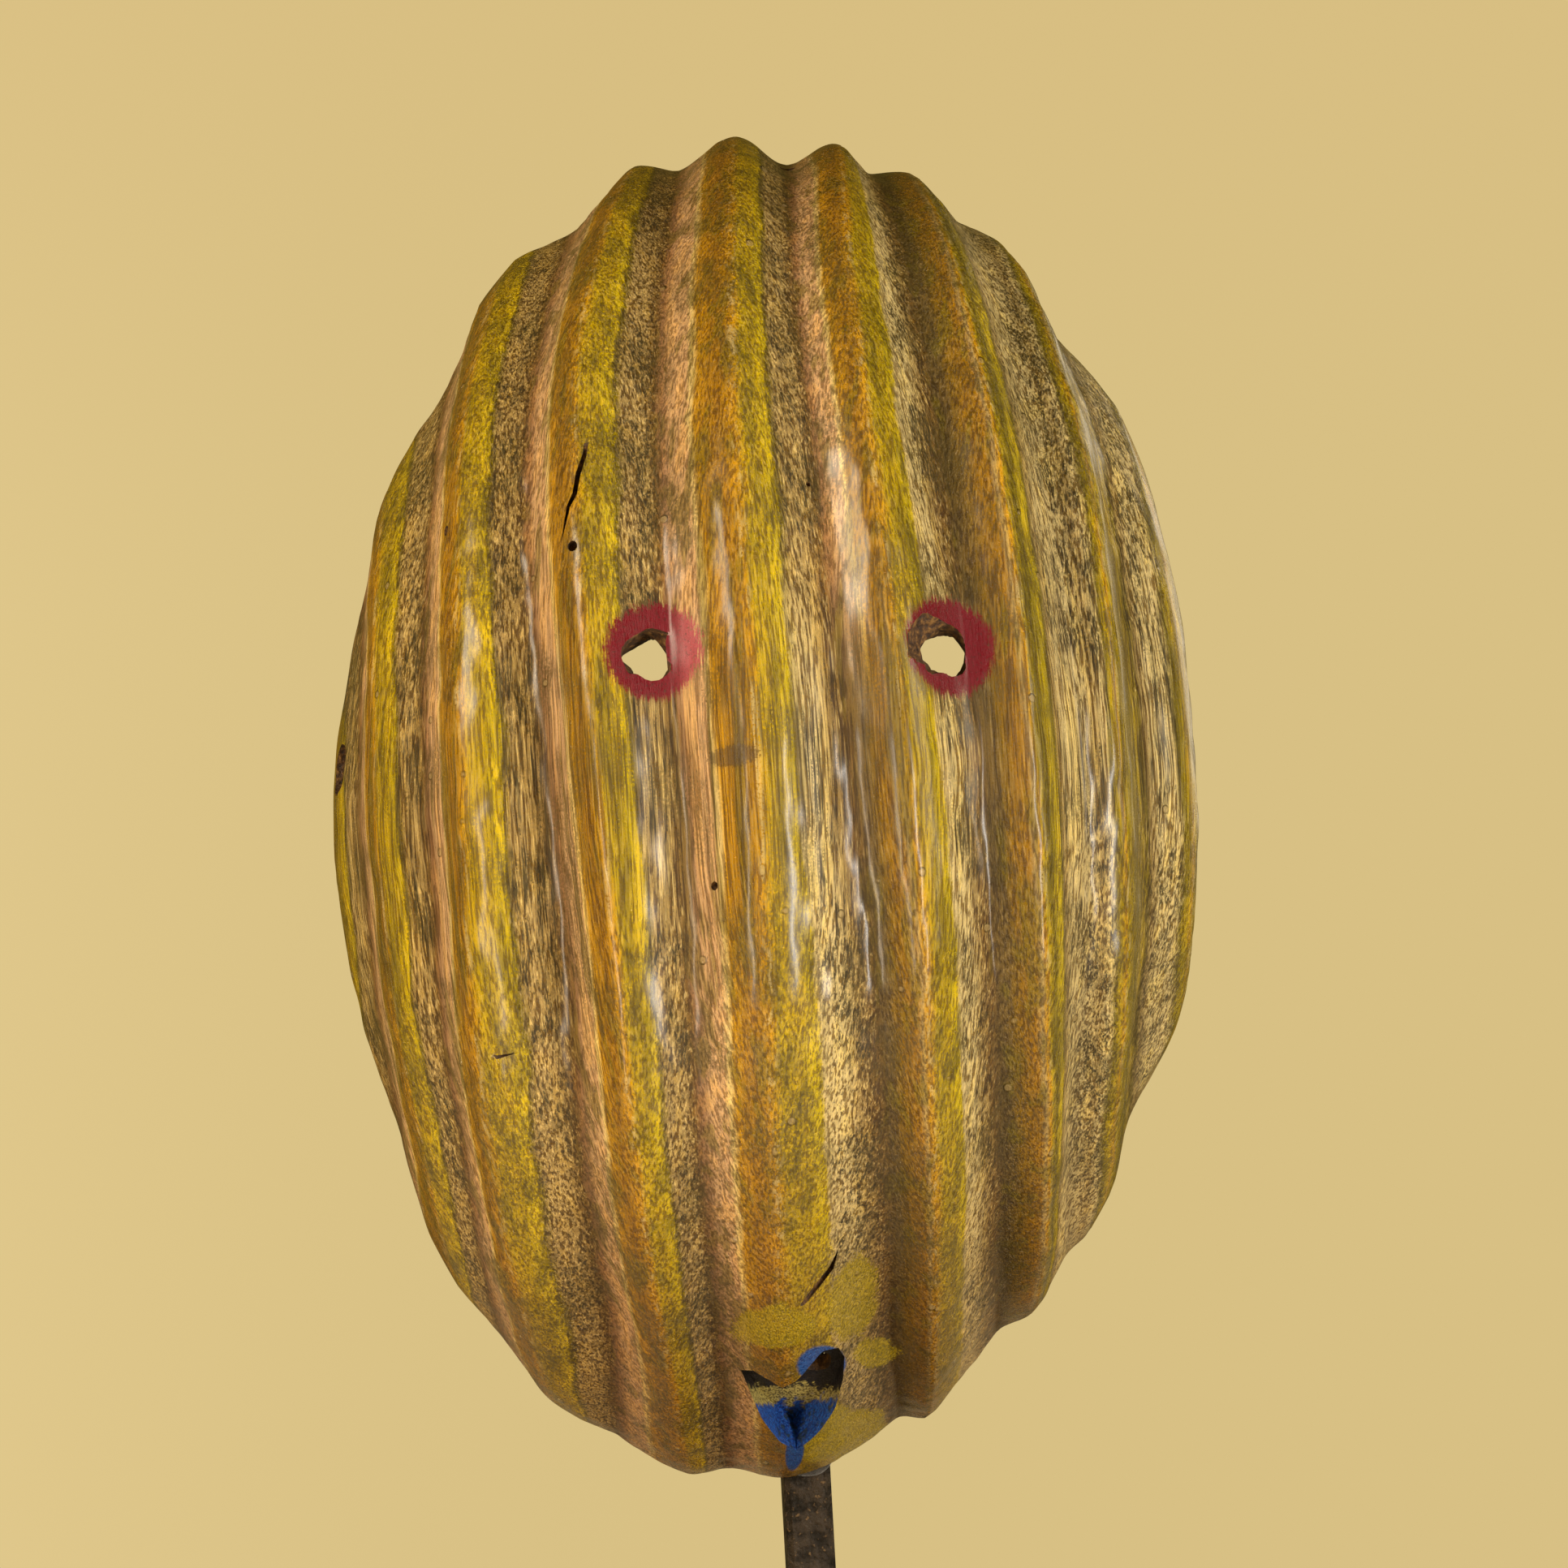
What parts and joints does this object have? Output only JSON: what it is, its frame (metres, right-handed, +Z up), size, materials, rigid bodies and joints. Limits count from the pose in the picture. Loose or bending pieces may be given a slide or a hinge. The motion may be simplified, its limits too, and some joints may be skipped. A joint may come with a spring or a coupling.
{
  "type": "carved mask on display stand",
  "caption": "Hollow oval face mask of painted carved wood with vertical ribs, on a padded rod fork and a square post that turns in a wooden base.",
  "frame": {"origin": "on the table under the axis of the post, at the middle of the felt's underside", "axes": "+Z up along the post, -Y the way the mask faces, +X to the viewer's right"},
  "size_m": [0.172, 0.1434, 0.3977],
  "materials": {
    "painted_wood": "carved wood in old yellow, orange and pink paint under worn lacquer",
    "forged_iron": "forged square bar, dark oxide with specks of rust",
    "blackened_steel": "blackened and waxed steel",
    "screw_steel": "bright screw steel, a little dulled",
    "washer_brass": "turned brass",
    "tip_rubber": "matt black rubber",
    "chin_felt": "dense dark felt",
    "base_felt": "green-black felt",
    "base_wood": "ebonised hardwood, waxed"
  },
  "bodies": {
    "base": {"base_felt": "base_felt", "base_block": "base_wood", "socket_flange": "blackened_steel", "flange_screws": "screw_steel", "thrust_washer": "washer_brass"},
    "clamp_tip": {"clamp_tip": "washer_brass"},
    "clamp_screw": {"clamp_screw": "blackened_steel"},
    "post": {"post": "forged_iron", "fork_screw": "screw_steel", "brow_fork": "forged_iron", "brow_tip_left": "tip_rubber", "brow_tip_right": "tip_rubber", "chin_pad": "chin_felt"},
    "mask": {"mask_shell": "painted_wood"}
  },
  "joints": [
    {"name": "post_swivel", "type": "hinge", "parent": "base", "child": "post", "pos_m": [0, 0, 0.05], "axis": [0, 0, 1], "continuous": true},
    {"name": "mask_lift", "type": "slide", "parent": "post", "child": "mask", "axis": [0, -0.6, 0.8], "range_m": [0, 0.12]},
    {"name": "clamp_travel", "type": "slide", "parent": "base", "child": "clamp_tip", "axis": [0, 1, 0], "range_m": [0, 0.002]},
    {"name": "clamp_turn", "type": "hinge", "parent": "clamp_tip", "child": "clamp_screw", "pos_m": [0, 0.0175, 0.0425], "axis": [0, 1, 0], "range_deg": [0, 720]}
  ],
  "couplings": [
    {"joint": "clamp_travel", "follows": "clamp_turn", "m_per_rad": 0.00015915}
  ]
}
